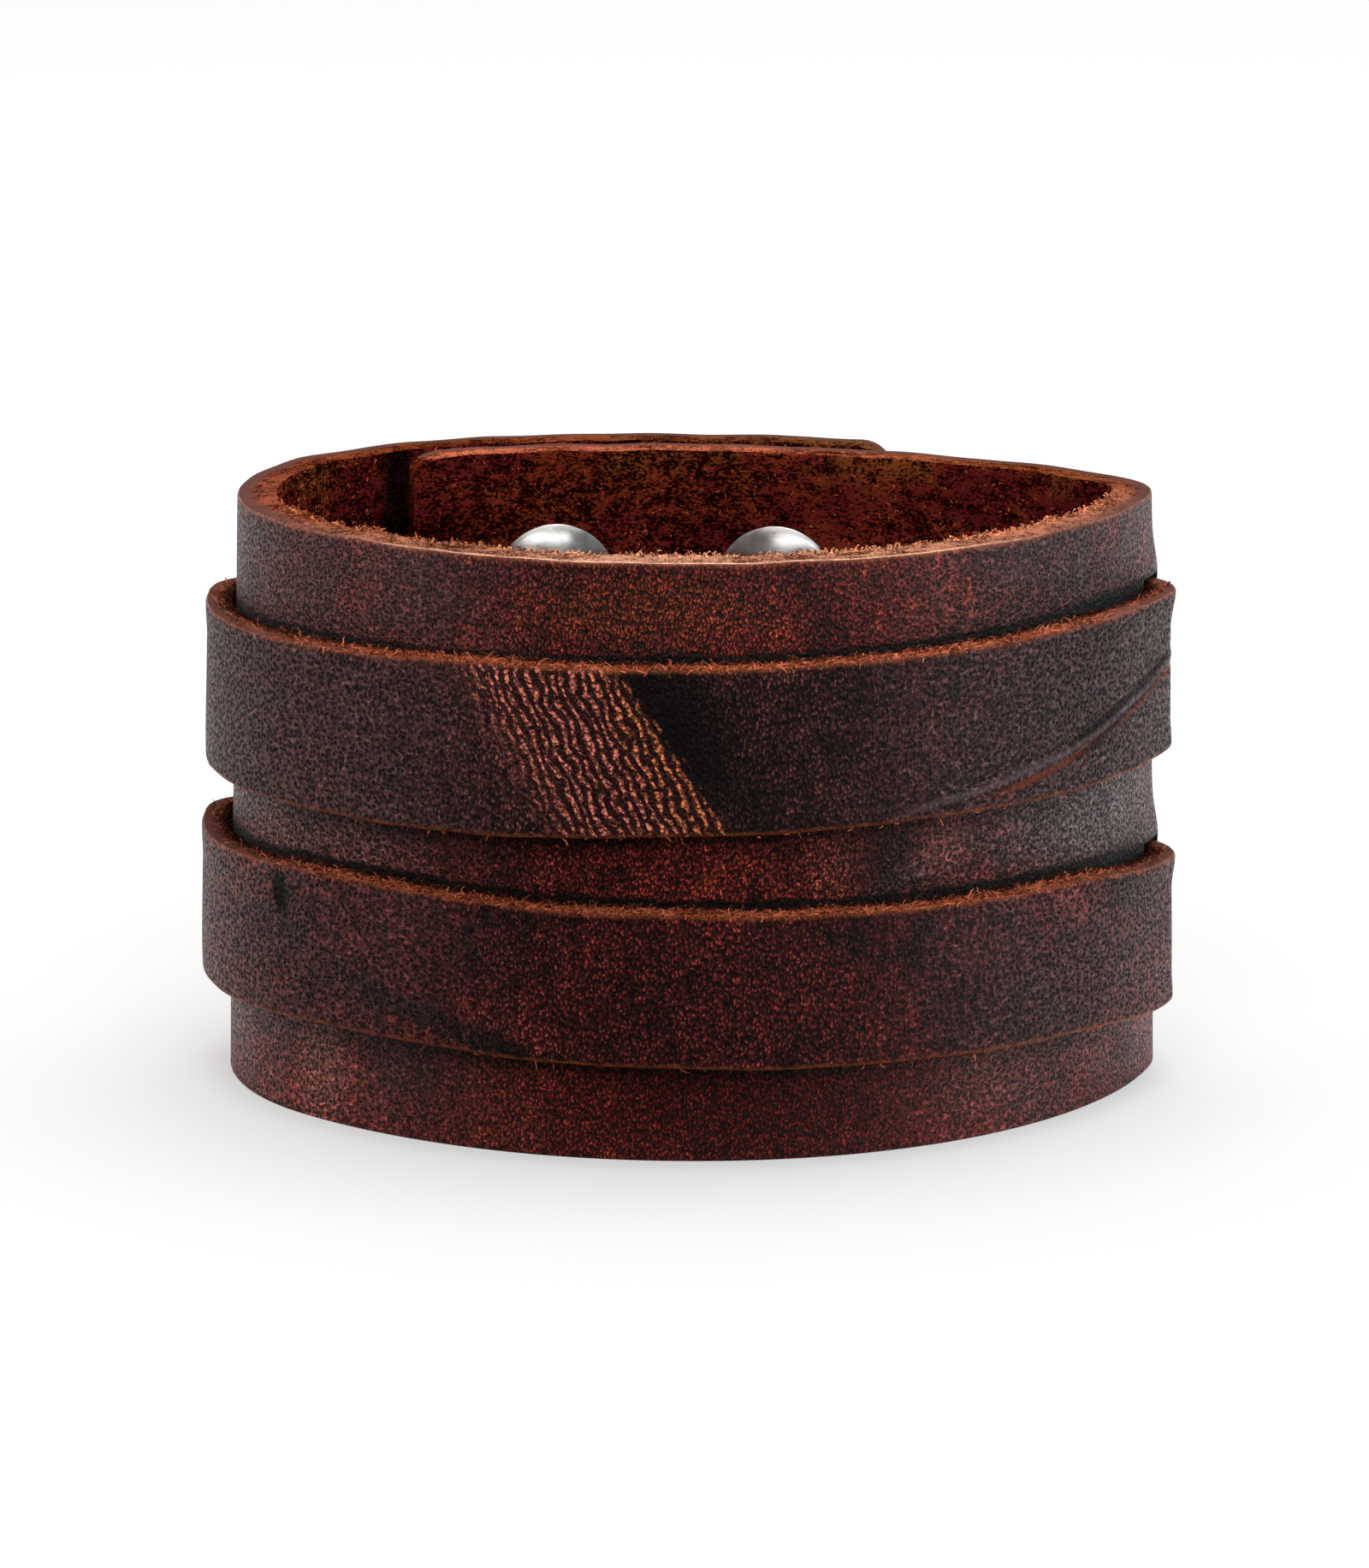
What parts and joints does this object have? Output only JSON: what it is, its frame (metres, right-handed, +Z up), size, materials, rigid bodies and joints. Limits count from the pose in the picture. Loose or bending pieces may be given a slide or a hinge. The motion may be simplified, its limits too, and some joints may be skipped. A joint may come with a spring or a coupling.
{
  "type": "leather cuff bracelet",
  "caption": "Wide leather cuff bracelet with overlapping ends closed by metal snaps, and narrow leather straps that run round its outside and dive through slits near its sides.",
  "frame": {"origin": "centre of the base of the bracelet's box, on the surface that its lower rim stands on", "axes": "+Z up along the wrist, +X to the right across the wrist's width, +Y from the plain front towards the back, where the ends overlap and the snaps are"},
  "size_m": [0.0736, 0.0538, 0.0445],
  "materials": {
    "band_leather": "oiled pull-up leather, dark red-brown, semi-matt, with pale raw cut edges and rough flesh side",
    "strap_leather": "oiled pull-up leather, dark red-brown, creased and rubbed, semi-matt",
    "snap_metal": "bright nickel plate"
  },
  "bodies": {
    "root": {"band": "band_leather", "strap_upper": "strap_leather", "strap_lower": "strap_leather", "stud_upper_left": "snap_metal", "stud_upper_right": "snap_metal", "stud_lower_left": "snap_metal", "stud_lower_right": "snap_metal", "cap_upper_left": "snap_metal", "cap_upper_right": "snap_metal", "cap_lower_left": "snap_metal", "cap_lower_right": "snap_metal"}
  },
  "joints": []
}
